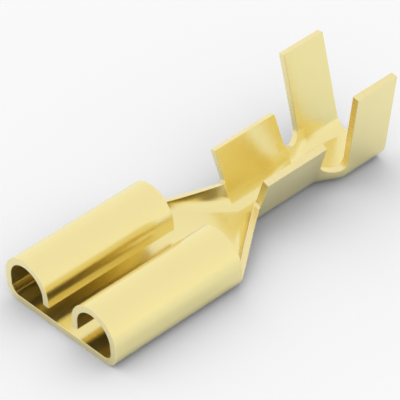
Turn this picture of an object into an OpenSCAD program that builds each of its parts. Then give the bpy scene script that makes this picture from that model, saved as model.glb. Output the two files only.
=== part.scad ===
// Female spade terminal: one brass sheet folded into a tab receptacle, a tapering neck, a wire
// crimp barrel and an insulation crimp barrel. All sizes are in millimetres.
// X runs along the terminal with the tab mouth at -X, Y across it, Z up from its underside at 0.

/* [Sheet] */
// Thickness of the brass sheet
sheet_t = 0.38; // [0.30:0.01:0.45]

/* [Receptacle] */
// Outside width of the receptacle
body_w = 7.7; // [7.2:0.1:8.2]
// Length of the receptacle
body_l = 7.8; // [6:0.1:10]
// Inside radius of each rolled curl
curl_r = 1.13; // [0.9:0.01:1.25]
// Height of the curl centres above the underside
curl_z = 1.33; // [1.2:0.01:1.6]
// Height of the curl lips above the underside, which leaves the gap for the tab
lip_z = 0.93; // [0.85:0.01:1.15]
// Inside bend radius between the floor and the side walls
corner_r = 0.5; // [0.2:0.05:0.7]

/* [Taper] */
// Length of the taper between the receptacle and the wire barrel
taper_l = 3.52; // [2.5:0.01:5]
// Height of the side walls where they leave the receptacle
wall_z0 = 0.62; // [0.5:0.01:0.85]
// Height of the side walls where they reach the wire barrel
wall_z1 = 1.55; // [1.1:0.01:2]
// Radius of the inside corner between a side wall and the wire wing
wall_fillet = 0.2; // [0.1:0.01:0.4]

/* [Wire barrel] */
// Length of the wire wings
wire_l = 3.88; // [3:0.01:5]
// Inside radius of the wire barrel
wire_r = 0.85; // [0.7:0.01:1.1]
// Lean of the wire wings away from upright, degrees
wire_lean = 20.3; // [8:0.1:30]
// Height of the inner edge of the wire wing tips
wire_top = 3.22; // [2.6:0.01:3.8]

/* [Neck] */
// Length of the neck between the two barrels, which is also the width of its rounded notches
neck_l = 1.4; // [1.2:0.01:2]
// Half width of the neck at the bottom of the notches, measured over the bent sheet
neck_s = 1.52; // [1.2:0.01:1.7]
// Radius of the notch corner at the wire wing; the rest of the notch is one round at the other wing
notch_r = 0.5; // [0.3:0.01:0.6]
// How gently the bends of the two barrels merge: 0 is a straight loft, 1 has no crease at its ends
neck_ease = 0.4; // [0:0.1:1]

/* [Insulation barrel] */
// Length of the insulation wings
ins_l = 2.6; // [2:0.01:3.5]
// Half width of the flat bottom of the insulation barrel
ins_flat = 0.78; // [0.5:0.01:1]
// Inside bend radius of the insulation barrel
ins_r = 0.7; // [0.5:0.01:1]
// Lean of the insulation wings away from upright, degrees
ins_lean = 10.5; // [4:0.1:20]
// Height of the inner edge of the insulation wing tips
ins_top = 5.62; // [4.8:0.01:6.2]

/* [Hidden] */
$fn = 96;
// facets over the bend and over the upright edge of a lofted half section
bend_n = 10;
edge_n = 3;
// stations along the taper, and along each round of a notch
taper_n = 10;
notch_n = 6;
// how far a loft runs into its neighbour, and how far it keeps inside the sheet there
lap = 0.05;
shy = 0.004;

full_l = body_l + taper_l + wire_l + neck_l + ins_l;
x_mouth = -full_l / 2;
x_body = x_mouth + body_l;
x_wire = x_body + taper_l;
x_neck = x_wire + wire_l;
x_ins = x_neck + neck_l;
x_end = x_ins + ins_l;

// receptacle half section: bend centre, curl centre
bend_y = body_w / 2 - sheet_t - corner_r;
bend_z = sheet_t + corner_r;
curl_y = body_w / 2 - sheet_t - curl_r;

// a barrel section is [half flat, inside radius, lean]
body_sec = [bend_y, corner_r, 0];
wire_sec = [0, wire_r, wire_lean];
ins_sec = [ins_flat, ins_r, ins_lean];

function mix(a, b, u) = a + (b - a) * u;
function ease(u) = mix(u, u * u * (3 - 2 * u), neck_ease);
function mix_sec(p, q, u) = [mix(p[0], q[0], u), mix(p[1], q[1], u), mix(p[2], q[2], u)];

// length of sheet from the middle of the floor to a height z on the inner face of a section
function turn(s) = 90 - s[2];
function tip_z(s) = sheet_t + s[1] * (1 - cos(turn(s)));
function arc_len(s, a) = s[1] * a * PI / 180;
function run_to(s, z) = z < tip_z(s)
    ? s[0] + arc_len(s, acos((sheet_t + s[1] - z) / s[1]))
    : s[0] + arc_len(s, turn(s)) + (z - tip_z(s)) / cos(s[2]);

// angle the sheet has turned through, and inner face point, at a length v from the middle
function turned(s, v) = v <= s[0] ? 0 : min((v - s[0]) / s[1] * 180 / PI, turn(s));
function past(s, v) = max(v - s[0] - arc_len(s, turn(s)), 0);
function inner(s, v) = let (a = turned(s, v), p = past(s, v))
    [min(v, s[0]) + s[1] * sin(a) + p * cos(a), sheet_t + s[1] * (1 - cos(a)) + p * sin(a)];

// point of a section at a length v and a depth d below the inner face
function at(s, v, d) = let (a = turned(s, v), p = inner(s, v)) [p[0] + d * sin(a), p[1] - d * cos(a)];

// lengths at which a half section of half width w has its points: floor, bend, upright edge
least = 0.06;
function stops(s, w) =
    let (a = max(s[0], w * least), b = min(s[0] + arc_len(s, turn(s)), w * (1 - least)))
    concat(a, [for (i = [1 : bend_n]) mix(a, b, i / bend_n)], [for (i = [1 : edge_n]) mix(b, w, i / edge_n)]);

// one face of a section from the left edge to the right one, at a depth d below the inner face
function face(x, s, v, d) = concat(
    [for (i = [len(v) - 1 : -1 : 0]) let (p = at(s, v[i], d)) [x, -p[0], p[1]]],
    [[x, 0, sheet_t - d]],
    [for (i = [0 : len(v) - 1]) let (p = at(s, v[i], d)) [x, p[0], p[1]]]);

// closed outline of a lofted section of half width w, kept a little inside the sheet by e
function ring(x, s, w, e) = let (v = stops(s, w - e), low = face(x, s, v, sheet_t - e), n = len(low))
    concat(face(x, s, v, e), [for (i = [n - 1 : -1 : 0]) low[i]]);

// solid through a list of outlines with the same number of points
module loft(rings) {
    n = len(rings[0]);
    m = len(rings);
    sides = [for (j = [0 : m - 2]) for (i = [0 : n - 1]) for (f = [0, 1]) let (k = (i + 1) % n)
        f == 0 ? [j * n + i, j * n + k, (j + 1) * n + k] : [j * n + i, (j + 1) * n + k, (j + 1) * n + i]];
    half = n / 2;
    caps = [for (i = [0 : half - 2]) for (f = [0 : 3]) let (o = n - 1 - i, e = (m - 1) * n)
        f == 0 ? [i, o, i + 1] : f == 1 ? [i + 1, o, o - 1] :
        f == 2 ? [e + i, e + i + 1, e + o] : [e + i + 1, e + o - 1, e + o]];
    polyhedron(points = [for (r = rings) each r], faces = concat(sides, caps), convexity = 6);
}

// stations of the taper: heights of its side walls follow a straight line, then the fillet
function taper_u(j) = j / taper_n;
function taper_x(u) = mix(x_body, x_wire, u);
function taper_sec(u) = mix_sec(body_sec, wire_sec, u);
function fillet_rise(x) = let (k = x - (x_wire - wall_fillet))
    k <= 0 ? 0 : wall_fillet - sqrt(max(pow(wall_fillet, 2) - k * k, 0));
function taper_w(u) = run_to(taper_sec(u), mix(wall_z0, wall_z1, u)) + fillet_rise(taper_x(u));
fillet_us = [for (k = [1 : 5]) 1 - (wall_fillet / taper_l) * (1 - sin(k * 18))];
taper_us = concat([for (j = [1 : taper_n - 1]) if (taper_u(j) < fillet_us[0] - 0.01) taper_u(j)], fillet_us);

module taper() {
    loft(concat(
        [ring(x_body - lap, body_sec, taper_w(0), shy)],
        [ring(x_body, body_sec, taper_w(0), shy)],
        [for (u = taper_us) ring(taper_x(u), taper_sec(u), taper_w(u), u > 0.999 ? shy : 0)],
        [ring(x_wire + lap, wire_sec, taper_w(1), shy)]));
}

// outline of the notches: a small round down from the wire wing, then a larger one up to the other wing
rise_r = neck_l - notch_r;
notch = concat(
    [for (j = [0 : notch_n]) let (a = 90 * j / notch_n) [notch_r * (1 - cos(a)), notch_r * (1 - sin(a))]],
    [for (j = [1 : notch_n]) let (a = 90 * j / notch_n) [notch_r + rise_r * sin(a), rise_r * (1 - cos(a))]]);
function neck_sec(x) = mix_sec(wire_sec, ins_sec, ease(x / neck_l));

module neck() {
    last = len(notch) - 1;
    loft(concat(
        [ring(x_neck - lap, wire_sec, neck_s + notch_r, shy)],
        [for (j = [0 : last]) let (p = notch[j])
            ring(x_neck + p[0], neck_sec(p[0]), neck_s + p[1], j == 0 || j == last ? shy : 0)],
        [ring(x_ins + lap, ins_sec, neck_s + rise_r, shy)]));
}

// stands a flat section (across, up) on its end and runs it along X
module along(x, l) {
    translate([x, 0, 0]) rotate([90, 0, 90]) linear_extrude(height = l) children();
}

// quarter of a bent sheet: ring sector below a bend centre, from straight down to the lean
module bend(s) {
    r = s[1];
    far = 3 * (r + sheet_t);
    intersection() {
        difference() {
            circle(r = r + sheet_t);
            circle(r = r);
        }
        polygon([[0, 0], [0, -far], [far, -far], [far * cos(s[2]), -far * sin(s[2])]]);
    }
}

// one side of a barrel section, top edge square to the wing
module barrel_side(s, top) {
    square_l = (top - tip_z(s)) / cos(s[2]);
    translate([s[0], sheet_t + s[1]]) {
        bend(s);
        rotate(-s[2]) translate([s[1], 0]) square([sheet_t, square_l]);
    }
    if (s[0] > 0) square([s[0], sheet_t]);
}

module barrel_section(s, top) {
    barrel_side(s, top);
    mirror([1, 0]) barrel_side(s, top);
}

// one side of the receptacle: floor, bend, side wall, curl and lip
module body_side() {
    square([bend_y, sheet_t]);
    translate([bend_y, bend_z]) bend(body_sec);
    translate([body_w / 2 - sheet_t, bend_z]) square([sheet_t, curl_z - bend_z]);
    translate([curl_y, curl_z]) intersection() {
        difference() {
            circle(r = curl_r + sheet_t);
            circle(r = curl_r);
        }
        translate([-2 * curl_r, 0]) square([4 * curl_r, 2 * curl_r]);
    }
    translate([curl_y - curl_r - sheet_t, lip_z]) square([sheet_t, curl_z - lip_z]);
}

module body_section() {
    body_side();
    mirror([1, 0]) body_side();
}

module terminal() {
    color([0.86, 0.72, 0.36]) union() {
        along(x_mouth, body_l) body_section();
        taper();
        along(x_wire, wire_l) barrel_section(wire_sec, wire_top);
        neck();
        along(x_ins, ins_l) barrel_section(ins_sec, ins_top);
    }
}

terminal();
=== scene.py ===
"""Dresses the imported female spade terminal: one bright brass sheet, folded, on a white table.

The folded sheet is drawn on its flat blank first. Each point of the blank is then folded to its
place, so both faces and the sheared edges follow one rule. The bends are those of the solid, apart
from the taper, whose faces run a little straighter here.
"""

import math

import bpy
import numpy as np
from mathutils import Matrix, Vector
from mathutils.geometry import delaunay_2d_cdt


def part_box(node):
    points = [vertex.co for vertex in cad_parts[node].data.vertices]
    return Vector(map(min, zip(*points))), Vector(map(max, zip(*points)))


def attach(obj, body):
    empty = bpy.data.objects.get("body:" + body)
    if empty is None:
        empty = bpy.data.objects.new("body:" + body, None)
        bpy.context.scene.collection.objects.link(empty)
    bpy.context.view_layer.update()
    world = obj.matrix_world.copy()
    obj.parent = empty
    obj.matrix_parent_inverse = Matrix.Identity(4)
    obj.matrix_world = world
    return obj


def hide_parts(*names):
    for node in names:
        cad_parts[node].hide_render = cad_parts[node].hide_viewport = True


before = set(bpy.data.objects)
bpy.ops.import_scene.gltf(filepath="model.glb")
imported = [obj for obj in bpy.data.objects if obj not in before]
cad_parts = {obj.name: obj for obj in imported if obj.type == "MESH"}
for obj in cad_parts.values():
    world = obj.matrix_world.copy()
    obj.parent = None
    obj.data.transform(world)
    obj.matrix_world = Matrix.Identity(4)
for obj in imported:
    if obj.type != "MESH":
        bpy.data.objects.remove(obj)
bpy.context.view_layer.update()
LOW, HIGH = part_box("terminal")

bl_info = {
    "name": "Spade Terminal",
    "version": (1, 0, 0),
    "blender": (4, 5, 0),
    "location": "View3D > Sidebar > Terminal",
    "description": "Builds a folded brass terminal and the table it is shown on",
    "category": "Add Mesh",
}

MM = 0.001


def length(label, words, value):
    """A length property; value is in millimetres."""
    return bpy.props.FloatProperty(
        name=label, description=words, default=value * MM, min=0.0, unit="LENGTH", precision=6
    )


def angle(label, words, degrees):
    """An angle property; degrees is its default."""
    return bpy.props.FloatProperty(
        name=label, description=words, default=math.radians(degrees), subtype="ANGLE"
    )


def share(label, words, value, top=1.0):
    """A plain number property from 0 to top."""
    return bpy.props.FloatProperty(
        name=label, description=words, default=value, min=0.0, max=top, precision=3
    )


def colour(label, words, value):
    """A linear colour property."""
    return bpy.props.FloatVectorProperty(
        name=label, description=words, default=value, size=3, subtype="COLOR", min=0.0, max=1.0
    )


class FoldSizes(bpy.types.PropertyGroup):
    """Sizes of the blank and of its folds."""

    width: length("Width", "Outside width of the receptacle", (HIGH.y - LOW.y) / MM)
    top: length("Top", "Height of the insulation wing tips", (HIGH.z - LOW.z) / MM)
    sheet: length("Sheet", "Thickness of the brass", 0.38)
    body_l: length("Receptacle", "Length of the receptacle", 7.8)
    corner_r: length("Corner", "Inside bend radius between floor and side wall", 0.5)
    curl_r: length("Curl radius", "Inside radius of the rolled curls", 1.13)
    curl_z: length("Curl height", "Height of the curl centres", 1.33)
    lip_z: length("Lip height", "Height of the curl lips", 0.93)
    taper_l: length("Taper", "Length of the taper", 3.52)
    wall_z0: length("Wall start", "Side wall height at the receptacle", 0.62)
    wall_z1: length("Wall end", "Side wall height at the wire barrel", 1.55)
    wall_fillet: length("Wall fillet", "Round between side wall and wire wing", 0.2)
    crease: length("Crease", "Length over which the taper's bends set in", 0.1)
    loft: share("Loft", "How straight the taper's faces run, from 0 for one bend that widens", 0.35)
    wire_l: length("Wire wings", "Length of the wire wings", 3.88)
    wire_r: length("Wire radius", "Inside radius of the wire barrel", 0.85)
    wire_lean: angle("Wire lean", "Lean of the wire wings from upright", 20.3)
    wire_top: length("Wire top", "Height of the wire wing tips", 3.22)
    neck_l: length("Neck", "Length of the neck", 1.4)
    neck_ease: share("Neck ease", "How gently the two barrels' bends merge along the neck", 0.4)
    neck_s: length("Neck half", "Half width of the neck over the bent sheet", 1.52)
    notch_r: length("Notch corner", "Notch radius at the wire wing", 0.5)
    ins_flat: length("Flat", "Half width of the insulation barrel's flat bottom", 0.78)
    ins_r: length("Insulation radius", "Inside bend radius of the insulation barrel", 0.7)
    ins_lean: angle("Insulation lean", "Lean of the insulation wings from upright", 10.5)
    edge_r: length("Edge", "Round where a face meets a sheared edge", 0.03)
    corner_cut: length("Corner cut", "Round at the outer corners of the blank", 0.05)


class BrassLook(bpy.types.PropertyGroup):
    """Finish of the rolled faces and the sheared edges."""

    brass: colour("Brass", "Colour of the rolled faces", (0.9, 0.774, 0.36))
    sheared: colour("Sheared brass", "Colour of the sheared edges", (0.885, 0.757, 0.38))
    metal: share("Metal", "How much of the surface is bare metal", 0.99)
    gloss: share("Roughness", "Roughness of the rolled faces", 0.22)
    edge_gloss: share("Edge roughness", "Roughness of the sheared edges", 0.29)
    film: share("Film", "Weight of a clear film that lays a pale sheen over the metal", 0.5)
    film_ior: share("Film IOR", "Refraction index of the film", 1.65, 3.0)
    film_gloss: share("Film roughness", "Roughness of the film", 0.32)
    cloud: share("Clouds", "How much the colour of the rolled faces varies", 0.02)
    streak: share("Streaks", "How much the roughness of the rolled faces varies", 0.02)
    edge_cloud: share("Edge clouds", "How much the colour of the sheared edges varies", 0.015)
    edge_streak: share("Edge streaks", "How much the roughness of the sheared edges varies", 0.03)
    marks: length("Marks", "Depth of the rolling marks", 0.0012)
    tears: length("Tears", "Depth of the shear marks on the edges", 0.0005)


class StageLook(bpy.types.PropertyGroup):
    """Table, light and camera."""

    floor: colour("Table", "Colour of the table top", (0.975, 0.975, 1.0))
    floor_glow: colour("Table glow", "Colour that the table top throws on the part", (0.95, 0.98, 1.0))
    low_sky: colour("Low sky", "Colour of the light at the horizon", (1.0, 1.0, 0.936))
    zenith: share("Zenith", "Strength of the light straight overhead", 0.947, 10.0)
    horizon: share("Horizon", "Strength of the light at the horizon", 1.02, 10.0)
    rise: share("Rise", "How slowly the light changes from horizon to zenith", 1.18, 10.0)
    key: share("Key", "Extra strength of the soft key light", 0.3, 50.0)
    key_azimuth: angle("Key azimuth", "Direction of the key light, from +X towards +Y", 126.7)
    key_elevation: angle("Key elevation", "Height of the key light above the horizon", 67.0)
    key_spread: angle("Key spread", "Half angle of the key light, out to its dark rim", 10.0)
    azimuth: angle("Azimuth", "Direction the camera looks in, from +X towards +Y", 49.79)
    elevation: angle("Elevation", "Height of the camera above the horizon", 39.586)
    roll: angle("Roll", "Turn of the camera about its own line of sight", -3.735)
    aim_x: length("Aim X", "X of the point on the table that the camera looks at", 1.238)
    aim_y: length("Aim Y", "Y of the point on the table that the camera looks at", 2.424)
    distance: length("Distance", "Distance from the camera to the point it looks at", 145.76)
    field: angle("Field", "Angle that the picture takes in", 7.546)


# ---------------------------------------------------------------- the fold

NORMAL_STEP = 0.01 * MM


class Fold:
    """The terminal's blank and how it is folded. x runs along it and v across it from the middle."""

    def __init__(self, s):
        self.s = s
        self.x_mouth = LOW.x
        self.x_body = self.x_mouth + s.body_l
        self.x_wire = self.x_body + s.taper_l
        self.x_neck = self.x_wire + s.wire_l
        self.x_ins = self.x_neck + s.neck_l
        self.x_end = HIGH.x
        bend_y = s.width / 2 - s.sheet - s.corner_r
        self.body = (bend_y, s.corner_r, math.pi / 2)
        self.wire = (0.0, s.wire_r, math.pi / 2 - s.wire_lean)
        self.ins = (s.ins_flat, s.ins_r, math.pi / 2 - s.ins_lean)
        wall = s.curl_z - s.sheet - s.corner_r
        self.curl = [(wall, 0.0), (math.pi * s.curl_r, s.curl_r), (s.curl_z - s.lip_z, 0.0)]
        self.curl_v = bend_y + math.pi / 2 * s.corner_r
        self.body_w = self.curl_v + sum(part[0] for part in self.curl)
        self.body_e = self.reach(self.body, s.wall_z0)
        self.wire_e = self.reach(self.wire, s.wall_z1)
        self.wire_w = self.reach(self.wire, s.wire_top)
        self.ins_w = self.reach(self.ins, s.top)

    def reach(self, section, z):
        """Length of sheet from the middle to a height z on the inner face."""
        flat, r, turn = section
        tip = self.s.sheet + r * (1 - math.cos(turn))
        if z < tip:
            return flat + r * math.acos((self.s.sheet + r - z) / r)
        return flat + r * turn + (z - tip) / math.sin(turn)

    def station(self, x):
        """The plain sections mixed at a station, each with its pace across the blank and its share."""
        s = self.s
        if x <= self.x_body:
            return [(self.body, 1.0, 1.0)]
        if x < self.x_wire:
            u = (x - self.x_body) / s.taper_l
            wide = mix(self.body_e, self.wire_e, u)
            u = eased_line(u, s.crease / s.taper_l)
            halfway = mix_section(self.body, self.wire, u)
            edge = self.reach(halfway, mix(s.wall_z0, s.wall_z1, u))
            return [
                (self.body, self.body_e / wide, s.loft * (1 - u)),
                (self.wire, self.wire_e / wide, s.loft * u),
                (halfway, edge / wide, 1 - s.loft),
            ]
        if x <= self.x_neck:
            return [(self.wire, 1.0, 1.0)]
        if x < self.x_ins:
            u = (x - self.x_neck) / s.neck_l
            return [(mix_section(self.wire, self.ins, mix(u, u * u * (3 - 2 * u), s.neck_ease)), 1.0, 1.0)]
        return [(self.ins, 1.0, 1.0)]

    def bent(self, section, v):
        """Inner face of a plain section at a length from the middle, and the angle turned through."""
        flat, r, turn = section
        a = min(max(v - flat, 0.0) / r, turn)
        past = max(v - flat - r * turn, 0.0)
        y = min(v, flat) + r * math.sin(a) + past * math.cos(a)
        return y, self.s.sheet + r * (1 - math.cos(a)) + past * math.sin(a), a

    def rolled(self, v):
        """The same for the receptacle, with its curl."""
        y, z, a = self.bent(self.body, min(v, self.curl_v))
        rest = v - self.curl_v
        for run, r in self.curl:
            step = min(max(rest, 0.0), run)
            if r:
                b = a + step / r
                y, z, a = y + r * (math.sin(b) - math.sin(a)), z + r * (math.cos(a) - math.cos(b)), b
            else:
                y, z = y + step * math.cos(a), z + step * math.sin(a)
            rest -= run
        return y, z, a

    def place(self, x, v, depth):
        """Folded place of a blank point, and the angle that the sheet has turned through there."""
        if x <= self.x_body:
            y, z, a = self.rolled(abs(v))
        else:
            y = z = run = rise = 0.0
            for section, pace, part in self.station(x):
                there_y, there_z, turned = self.bent(section, abs(v) * pace)
                y, z = y + part * there_y, z + part * there_z
                run += part * pace * math.cos(turned)
                rise += part * pace * math.sin(turned)
            a = math.atan2(rise, run)
        y, z = y + depth * math.sin(a), z - depth * math.cos(a)
        return Vector((x, math.copysign(y, v), z)), a

    def normal(self, x, v, depth):
        """Normal of the inner face at a blank point, pointing into the hollow of the fold."""
        _, a = self.place(x, v, depth)
        side = math.copysign(1.0, v)
        across = Vector((0.0, side * math.cos(a), math.sin(a)))
        lo, hi = self.span(x)
        before, after = max(x - NORMAL_STEP, lo), min(x + NORMAL_STEP, hi)
        along = self.place(after, v, depth)[0] - self.place(before, v, depth)[0]
        return (along.cross(across) * side).normalized()

    def span(self, x):
        """The stretch of the terminal that a station lies in."""
        marks = (self.x_mouth, self.x_body, self.x_wire, self.x_neck, self.x_ins, self.x_end)
        for lo, hi in zip(marks, marks[1:]):
            if x <= hi:
                return lo, hi
        return marks[-2], marks[-1]

    def stops(self, x, bend_step, flat_step):
        """Distances from the middle at which the half section has its points."""
        found = {0.0}
        for (flat, r, turn), pace, _ in self.station(x):
            top = max(self.wire_w, self.ins_w) if x > self.x_body else self.curl_v
            runs = [(flat, 0.0), (r * turn, r), (max(top - flat - r * turn, 0.0), 0.0)]
            found |= {v / pace for v in self.marks(0.0, runs, bend_step, flat_step)}
        if x <= self.x_body:
            found |= set(self.marks(self.curl_v, self.curl, bend_step, flat_step))
        kept = []
        for v in sorted(found):
            if not kept or v - kept[-1] > LEAST_STEP:
                kept.append(v)
        return kept

    def marks(self, start, runs, bend_step, flat_step):
        """Points along a chain of runs; a run is a length and its bend radius, or 0 if straight."""
        at, found = start, []
        for run, r in runs:
            if run <= 0:
                continue
            count = max(1, math.ceil(run / (r * bend_step) if r else run / flat_step))
            found += [at + run * k / count for k in range(1, count + 1)]
            at += run
        return found

    def taper_edge(self, x):
        """Half width of the blank along the taper, with the round up to the wire wing."""
        s = self.s
        u = (x - self.x_body) / s.taper_l
        near = x - (self.x_wire - s.wall_fillet)
        rise = 0.0 if near <= 0 else s.wall_fillet - math.sqrt(max(s.wall_fillet**2 - near**2, 0.0))
        return mix(self.body_e, self.wire_e, u) + rise


def mix(a, b, u):
    """The value a share u of the way from a to b."""
    return a + (b - a) * u


def mix_section(a, b, u):
    """The same for each size of two plain sections."""
    return tuple(mix(p, q, u) for p, q in zip(a, b))


def eased_line(u, ramp):
    """A straight rise from 0 to 1 that sets in and ends gently over a share of its length."""
    u = min(max(u, 0.0), 1.0)
    slope = 1 / (1 - ramp)
    if u < ramp:
        return slope * u * u / (2 * ramp)
    if u > 1 - ramp:
        return 1 - slope * (1 - u) ** 2 / (2 * ramp)
    return slope * (u - ramp / 2)


def between(a, b, step):
    """Values from a to b, both included, at most a step apart."""
    count = max(1, math.ceil(abs(b - a) / step))
    return [a + (b - a) * k / count for k in range(count + 1)]


def arc(cx, cv, r, start, end, count):
    """Points of a round in the blank; angles in degrees from +x towards +v."""
    return [
        (cx + r * math.cos(math.radians(a)), cv + r * math.sin(math.radians(a)))
        for a in between(start, end, abs(end - start) / count)
    ]


# ---------------------------------------------------------------- the blank

# steps between neighbouring points
BEND_STEP = math.radians(3.5)
FLAT_STEP = 0.5 * MM
EDGE_STEP = 0.12 * MM
NECK_STEP = 0.07 * MM
LEAST_STEP = 0.02 * MM
FILLET_STEP = 10  # degrees

# steps in a quarter round
CORNER_STEPS = 5
SMALL_NOTCH_STEPS = 9
LARGE_NOTCH_STEPS = 12

# room between the edge and the points inside it, and between a rounded corner and a section's points
EDGE_GAP = 0.03 * MM
CORNER_ROOM = 1.5  # times the round

# what the division into faces keeps, and how near two points are one, in millimetres
INSIDE_ONLY = 1
SAME_POINT = 1e-6


def wing_top(x0, x1, top, c):
    """Edge over the top of a wing from x0 to x1, with its two corners rounded."""
    return (
        arc(x0 + c, top - c, c, 180, 90, CORNER_STEPS)
        + [(x, top) for x in between(x0 + c, x1 - c, FLAT_STEP)[1:-1]]
        + arc(x1 - c, top - c, c, 90, 0, CORNER_STEPS)
    )


def half_outline(f):
    """Edge of the blank's +v half, from the middle of the mouth round to the middle of the rear."""
    s, c = f.s, f.s.corner_cut
    body_v = f.stops(f.x_mouth, BEND_STEP, FLAT_STEP)
    body_top, ins_top = f.body_w - CORNER_ROOM * c, f.ins_w - CORNER_ROOM * c
    points = [(f.x_mouth, v) for v in body_v if v < body_top]
    points += wing_top(f.x_mouth, f.x_body, f.body_w, c)
    points += [(f.x_body, v) for v in reversed(body_v) if f.taper_edge(f.x_body) + c < v < body_top]

    fillet_x = f.x_wire - s.wall_fillet
    fillet = [fillet_x + s.wall_fillet * math.sin(math.radians(a)) for a in between(0, 90, FILLET_STEP)]
    taper = between(f.x_body, fillet_x, EDGE_STEP)[:-1] + fillet
    points += [(x, f.taper_edge(x)) for x in taper]
    points += [(f.x_wire, v) for v in between(f.taper_edge(f.x_wire), f.wire_w - c, EDGE_STEP)[1:-1]]
    points += wing_top(f.x_wire, f.x_neck, f.wire_w, c)

    low, up = s.notch_r, s.neck_l - s.notch_r
    points += [(f.x_neck, v) for v in between(f.wire_w - c, s.neck_s + low, EDGE_STEP)[1:-1]]
    points += arc(f.x_neck + low, s.neck_s + low, low, 180, 270, SMALL_NOTCH_STEPS)
    points += arc(f.x_ins - up, s.neck_s + up, up, 270, 360, LARGE_NOTCH_STEPS)[1:]
    points += [(f.x_ins, v) for v in between(s.neck_s + up, f.ins_w - c, FLAT_STEP)[1:-1]]
    points += wing_top(f.x_ins, f.x_end, f.ins_w, c)
    ins_v = f.stops(f.x_end, BEND_STEP, FLAT_STEP)
    points += [(f.x_end, v) for v in reversed(ins_v) if v < ins_top]
    return points


def outline(f):
    """Whole edge of the blank, once round."""
    half = half_outline(f)
    return np.array(half + [(x, -v) for x, v in reversed(half[1:-1])])


def inset(loop, by):
    """The loop moved into the blank by a distance, square to its sides."""
    back, ahead = loop - np.roll(loop, 1, axis=0), np.roll(loop, -1, axis=0) - loop
    normals = []
    for side in (back, ahead):
        side = side / np.linalg.norm(side, axis=1)[:, None]
        normals.append(np.stack([side[:, 1], -side[:, 0]], axis=1))
    both = normals[0] + normals[1]
    both /= np.linalg.norm(both, axis=1)[:, None]
    return loop + both * (by / (both * normals[0]).sum(axis=1))[:, None]


def clear_of(points, loop, gap):
    """Which points lie inside the loop and at least a gap away from it."""
    ends = np.roll(loop, -1, axis=0)
    inside = np.zeros(len(points), bool)
    nearest = np.full(len(points), np.inf)
    for a, b in zip(loop, ends):
        d = b - a
        t = np.clip(((points - a) @ d) / (d @ d), 0, 1)
        nearest = np.minimum(nearest, np.linalg.norm(points - a - t[:, None] * d, axis=1))
        if a[1] != b[1]:
            crosses = (a[1] > points[:, 1]) != (b[1] > points[:, 1])
            x = a[0] + (points[:, 1] - a[1]) / (b[1] - a[1]) * d[0]
            inside ^= crosses & (points[:, 0] < x)
    return inside & (nearest > gap)


def lattice(f, loop, gap):
    """Points inside the blank: stations along it, and the stops of the section at each."""
    stations = (
        between(f.x_mouth, f.x_body, FLAT_STEP)
        + between(f.x_body, f.x_wire, EDGE_STEP)
        + between(f.x_wire, f.x_neck, FLAT_STEP)
        + between(f.x_neck, f.x_ins, NECK_STEP)
        + between(f.x_ins, f.x_end, FLAT_STEP)
    )
    points = {
        (x, side * v)
        for x in stations
        for v in f.stops(x, BEND_STEP, FLAT_STEP)
        for side in (-1, 1)
    }
    points = np.array(sorted(points))
    return points[clear_of(points, loop, gap)]


def round_steps(r, count=4):
    """Inset from the edge, depth below the face and lean of the normal over a rounded edge."""
    turns = [math.pi / 2 * k / count for k in range(count + 1)]
    return [(r * (1 - math.sin(a)), r * (1 - math.cos(a)), a) for a in turns]


def sheet_mesh(f, name):
    """The folded sheet: two faces, and a sheared edge with its corners rounded."""
    s = f.s
    edge = outline(f)
    face_loop = inset(edge, s.edge_r)
    inner = lattice(f, face_loop, EDGE_GAP)
    flat = [Vector(p) / MM for p in face_loop] + [Vector(p) / MM for p in inner]
    count = len(face_loop)
    made = delaunay_2d_cdt(flat, [], [list(range(count))], INSIDE_ONLY, SAME_POINT)
    blank = [p * MM for p in made[0]]
    source = [ids[0] if ids else -1 for ids in made[3]]
    if len(blank) != len(flat) or source != list(range(len(flat))):
        raise RuntimeError("the blank's points moved while it was divided into faces")

    places, normals, blanks, shears, faces, cut = [], [], [], [], [], []

    def add_point(x, v, depth, lean, outward, along=0.0):
        near = f.normal(x, v, depth)
        sign = 1.0 if depth < s.sheet / 2 else -1.0
        places.append(f.place(x, v, depth)[0])
        blanks.append((x, v, depth))
        shears.append((along, depth, 0.0))
        normals.append((near * sign * math.cos(lean) + outward * math.sin(lean)).normalized())
        return len(places) - 1

    none = Vector((0.0, 0.0, 0.0))
    top = [add_point(p.x, p.y, 0.0, 0.0, none) for p in blank]
    bottom = [add_point(p.x, p.y, s.sheet, 0.0, none) for p in blank]
    for tri in made[2]:
        faces.append([top[i] for i in tri])
        faces.append([bottom[i] for i in reversed(tri)])

    steps = round_steps(s.edge_r)
    rows = [(o, d, a) for o, d, a in steps[1:]] + [(o, s.sheet - d, a) for o, d, a in reversed(steps[1:])]
    rings = [top[:count]]
    lengths = np.linalg.norm(np.roll(edge, -1, axis=0) - edge, axis=1).cumsum()
    for by, depth, lean in rows:
        loop = inset(edge, by)
        spots = [f.place(x, v, depth)[0] for x, v in loop]
        ring = []
        for k, (x, v) in enumerate(loop):
            onward = spots[(k + 1) % count] - spots[k - 1]
            outward = f.normal(x, v, depth).cross(onward).normalized()
            ring.append(add_point(x, v, depth, lean, outward, lengths[k]))
        rings.append(ring)
    rings.append(bottom[:count])
    for upper, lower in zip(rings, rings[1:]):
        for k in range(count):
            j = (k + 1) % count
            cut.append(len(faces))
            faces.append([upper[k], upper[j], lower[j], lower[k]])

    mesh = bpy.data.meshes.new(name)
    mesh.from_pydata(places, [], faces)
    mesh.materials.append(brass_face())
    mesh.materials.append(brass_cut())
    for k in cut:
        mesh.polygons[k].material_index = 1
    mesh.polygons.foreach_set("use_smooth", [True] * len(mesh.polygons))
    for key, values in (("blank", blanks), ("shear", shears)):
        stored = mesh.attributes.new(key, "FLOAT_VECTOR", "POINT")
        stored.data.foreach_set("vector", np.array(values).ravel())
    mesh.normals_split_custom_set_from_vertices(normals)
    mesh.update()
    return mesh


# ---------------------------------------------------------------- materials

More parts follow.
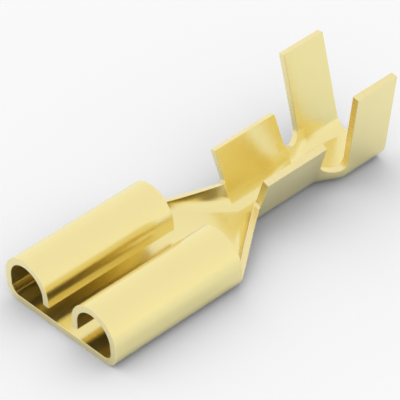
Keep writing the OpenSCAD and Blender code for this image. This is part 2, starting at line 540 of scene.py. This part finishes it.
# marks to the millimetre: along the blank, across it and into it, or along an edge and into it
CLOUDS = (0.35, 0.6, 0.6)
MILL_LINES = (0.7, 11.0, 1.0)
SHEAR_LINES = (9.0, 1.2, 1.0)

# detail of a noise, and the range that most of its values keep to
BROAD = 2.0
FINE = 3.0
NOISE_LOW = 0.3
NOISE_HIGH = 0.7


def new_material(name):
    """A material with nodes, its node tree and its shader."""
    material = bpy.data.materials.new(name)
    material.use_nodes = True
    tree = material.node_tree
    return material, tree, tree.nodes["Principled BSDF"]


def noise(tree, where, marks_per_mm, detail):
    """Noise over a stored place on the sheet, with a count of marks to the millimetre each way."""
    place = tree.nodes.new("ShaderNodeAttribute")
    place.attribute_name = where
    scale = tree.nodes.new("ShaderNodeMapping")
    scale.inputs["Scale"].default_value = [count / MM for count in marks_per_mm]
    tree.links.new(place.outputs["Vector"], scale.inputs["Vector"])
    pattern = tree.nodes.new("ShaderNodeTexNoise")
    pattern.inputs["Scale"].default_value = 1.0
    pattern.inputs["Detail"].default_value = detail
    tree.links.new(scale.outputs["Vector"], pattern.inputs["Vector"])
    return pattern.outputs["Fac"]


def spread(tree, source, middle, change):
    """The usual range of a noise, stretched over a change to either side of the middle."""
    node = tree.nodes.new("ShaderNodeMapRange")
    node.inputs["From Min"].default_value = NOISE_LOW
    node.inputs["From Max"].default_value = NOISE_HIGH
    node.inputs["To Min"].default_value = middle - change
    node.inputs["To Max"].default_value = middle + change
    tree.links.new(source, node.inputs["Value"])
    return node.outputs["Result"]


def mix_node(tree, source, first, second):
    """From the first colour, where the source is 0, to the second, where it is 1."""
    node = tree.nodes.new("ShaderNodeMix")
    node.data_type = "RGBA"
    colours = [socket for socket in node.inputs if socket.type == "RGBA"]
    for socket, value in zip(colours, (first, second)):
        socket.default_value = (*value, 1.0)
    tree.links.new(source, node.inputs["Factor"])
    return next(socket for socket in node.outputs if socket.type == "RGBA")


def tint(tree, source, base, change):
    """The base colour, lighter and darker by a share of itself."""
    dark = [c * (1 - change) for c in base]
    light = [min(c * (1 + change), 1.0) for c in base]
    return mix_node(tree, source, dark, light)


def bump(tree, source, depth):
    """A normal that follows the source as a height, with a depth in metres."""
    node = tree.nodes.new("ShaderNodeBump")
    node.inputs["Strength"].default_value = 1.0
    node.inputs["Distance"].default_value = depth
    tree.links.new(source, node.inputs["Height"])
    return node.outputs["Normal"]


def film(shader, look):
    """Metal under a thin clear film, which makes its sheen paler."""
    shader.inputs["Metallic"].default_value = look.metal
    shader.inputs["Coat Weight"].default_value = look.film
    shader.inputs["Coat IOR"].default_value = look.film_ior
    shader.inputs["Coat Roughness"].default_value = look.film_gloss


def brass_face():
    """Rolled faces: satin and slightly cloudy, with faint marks of the mill along the terminal."""
    look = bpy.context.scene.terminal_brass
    material, tree, shader = new_material("brass_rolled")
    film(shader, look)
    clouds = noise(tree, "blank", CLOUDS, BROAD)
    lines = noise(tree, "blank", MILL_LINES, FINE)
    tree.links.new(tint(tree, clouds, look.brass, look.cloud), shader.inputs["Base Color"])
    tree.links.new(spread(tree, lines, look.gloss, look.streak), shader.inputs["Roughness"])
    tree.links.new(bump(tree, lines, look.marks), shader.inputs["Normal"])
    return material


def brass_cut():
    """Sheared edges: duller, with the tool's marks across the thickness of the sheet."""
    look = bpy.context.scene.terminal_brass
    material, tree, shader = new_material("brass_sheared")
    film(shader, look)
    tears = noise(tree, "shear", SHEAR_LINES, FINE)
    tree.links.new(tint(tree, tears, look.sheared, look.edge_cloud), shader.inputs["Base Color"])
    tree.links.new(spread(tree, tears, look.edge_gloss, look.edge_streak), shader.inputs["Roughness"])
    tree.links.new(bump(tree, tears, look.tears), shader.inputs["Normal"])
    return material


# ---------------------------------------------------------------- stage

TABLE_HALF = 0.6  # metres
WHITE = (1.0, 1.0, 1.0)
KEY_CORE = 0.6  # share of the key light's spread that is at full strength
SENSOR = 36.0  # millimetres
NEAR_CLIP = 0.01  # metres


def make_table(look):
    """A white table top at the height of the underside."""
    mesh = bpy.data.meshes.new("table_top")
    signs = ((-1, -1), (1, -1), (1, 1), (-1, 1))
    mesh.from_pydata([(a * TABLE_HALF, b * TABLE_HALF, LOW.z) for a, b in signs], [], [(0, 1, 2, 3)])
    material, tree, shader = new_material("white_table")
    shader.inputs["Roughness"].default_value = 1.0
    shader.inputs["Specular IOR Level"].default_value = 0.0
    path = tree.nodes.new("ShaderNodeLightPath")
    seen = mix_node(tree, path.outputs["Is Camera Ray"], look.floor_glow, look.floor)
    tree.links.new(seen, shader.inputs["Base Color"])
    mesh.materials.append(material)
    table = bpy.data.objects.new("table_top", mesh)
    bpy.context.scene.collection.objects.link(table)


def make_light(look):
    """A pale sky all round, with one soft patch in it. The brass mirrors no light onto the table."""
    scene = bpy.context.scene
    scene.view_settings.view_transform = "Standard"
    scene.cycles.caustics_reflective = False
    world = bpy.data.worlds.new("studio_sky")
    world.use_nodes = True
    tree = world.node_tree
    sky = tree.nodes["Background"]
    above = math_node(tree, "MAXIMUM", toward(tree, 0.0, math.pi / 2), 0.0)
    height = math_node(tree, "POWER", above, look.rise)
    tree.links.new(mix_node(tree, height, look.low_sky, WHITE), sky.inputs["Color"])
    even = math_node(tree, "MULTIPLY_ADD", height, look.zenith - look.horizon, look.horizon)
    patch = tree.nodes.new("ShaderNodeMapRange")
    patch.interpolation_type = "SMOOTHSTEP"
    patch.inputs["From Min"].default_value = math.cos(look.key_spread)
    patch.inputs["From Max"].default_value = math.cos(KEY_CORE * look.key_spread)
    patch.inputs["To Max"].default_value = look.key
    tree.links.new(toward(tree, look.key_azimuth, look.key_elevation), patch.inputs["Value"])
    tree.links.new(math_node(tree, "ADD", even, patch.outputs["Result"]), sky.inputs["Strength"])
    scene.world = world


def toward(tree, azimuth, elevation):
    """How closely each direction of the sky points the given way, from -1 to 1."""
    place = tree.nodes.new("ShaderNodeTexCoord")
    node = tree.nodes.new("ShaderNodeVectorMath")
    node.operation = "DOT_PRODUCT"
    node.inputs[1].default_value = direction(azimuth, elevation)
    tree.links.new(place.outputs["Generated"], node.inputs[0])
    return node.outputs["Value"]


def math_node(tree, operation, *values):
    """A Math node; each value is a number or the output of another node."""
    node = tree.nodes.new("ShaderNodeMath")
    node.operation = operation
    for socket, value in zip(node.inputs, values):
        if isinstance(value, bpy.types.NodeSocket):
            tree.links.new(value, socket)
        else:
            socket.default_value = value
    return node.outputs["Value"]


def direction(azimuth, elevation):
    """Unit vector with an azimuth from +X towards +Y and an elevation above the horizon."""
    level = math.cos(elevation)
    return Vector((level * math.cos(azimuth), level * math.sin(azimuth), math.sin(elevation)))


def make_camera(look):
    """The camera, turned about its line of sight and aimed at a point of the table."""
    aim = Vector((look.aim_x, look.aim_y, 0.0))
    back = -direction(look.azimuth, -look.elevation)
    right = (-back).cross(Vector((0.0, 0.0, 1.0))).normalized()
    up = right.cross(-back)
    turned_right = right * math.cos(look.roll) + up * math.sin(look.roll)
    turned_up = up * math.cos(look.roll) - right * math.sin(look.roll)
    data = bpy.data.cameras.new("camera")
    data.sensor_width = SENSOR
    data.lens = SENSOR / 2 / math.tan(look.field / 2)
    data.clip_start = NEAR_CLIP
    camera = bpy.data.objects.new("camera", data)
    turn = Matrix((turned_right, turned_up, back)).transposed().to_4x4()
    camera.matrix_world = Matrix.Translation(aim + back * look.distance) @ turn
    bpy.context.scene.collection.objects.link(camera)
    bpy.context.scene.camera = camera


# ---------------------------------------------------------------- operators


class TERMINAL_OT_sheet(bpy.types.Operator):
    """Build the folded brass sheet"""

    bl_idname = "terminal.sheet"
    bl_label = "Folded Sheet"

    def execute(self, context):
        mesh = sheet_mesh(Fold(context.scene.terminal_sizes), "folded_sheet")
        piece = bpy.data.objects.new("folded_sheet", mesh)
        context.scene.collection.objects.link(piece)
        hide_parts("terminal")
        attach(piece, "root")
        return {"FINISHED"}


class TERMINAL_OT_stage(bpy.types.Operator):
    """Set up the table, the light and the camera"""

    bl_idname = "terminal.stage"
    bl_label = "Table, Light and Camera"

    def execute(self, context):
        look = context.scene.terminal_stage
        make_table(look)
        make_light(look)
        make_camera(look)
        return {"FINISHED"}


class TERMINAL_PT_panel(bpy.types.Panel):
    """Lists the steps and their sizes"""

    bl_label = "Spade Terminal"
    bl_idname = "TERMINAL_PT_panel"
    bl_space_type = "VIEW_3D"
    bl_region_type = "UI"
    bl_category = "Terminal"

    def draw(self, context):
        for step in STEPS:
            self.layout.operator(step.bl_idname)
        for name in GROUPS:
            group = getattr(context.scene, name)
            column = self.layout.column()
            for key in group.__annotations__:
                column.prop(group, key)


STEPS = (TERMINAL_OT_sheet, TERMINAL_OT_stage)
GROUPS = {"terminal_sizes": FoldSizes, "terminal_brass": BrassLook, "terminal_stage": StageLook}


def register():
    for cls in (*GROUPS.values(), *STEPS, TERMINAL_PT_panel):
        bpy.utils.register_class(cls)
    for name, group in GROUPS.items():
        setattr(bpy.types.Scene, name, bpy.props.PointerProperty(type=group))


def unregister():
    for name in GROUPS:
        delattr(bpy.types.Scene, name)
    for cls in (TERMINAL_PT_panel, *reversed(STEPS), *reversed(GROUPS.values())):
        bpy.utils.unregister_class(cls)


def main():
    register()
    bpy.ops.terminal.sheet()
    bpy.ops.terminal.stage()


if __name__ == "__main__":
    main()
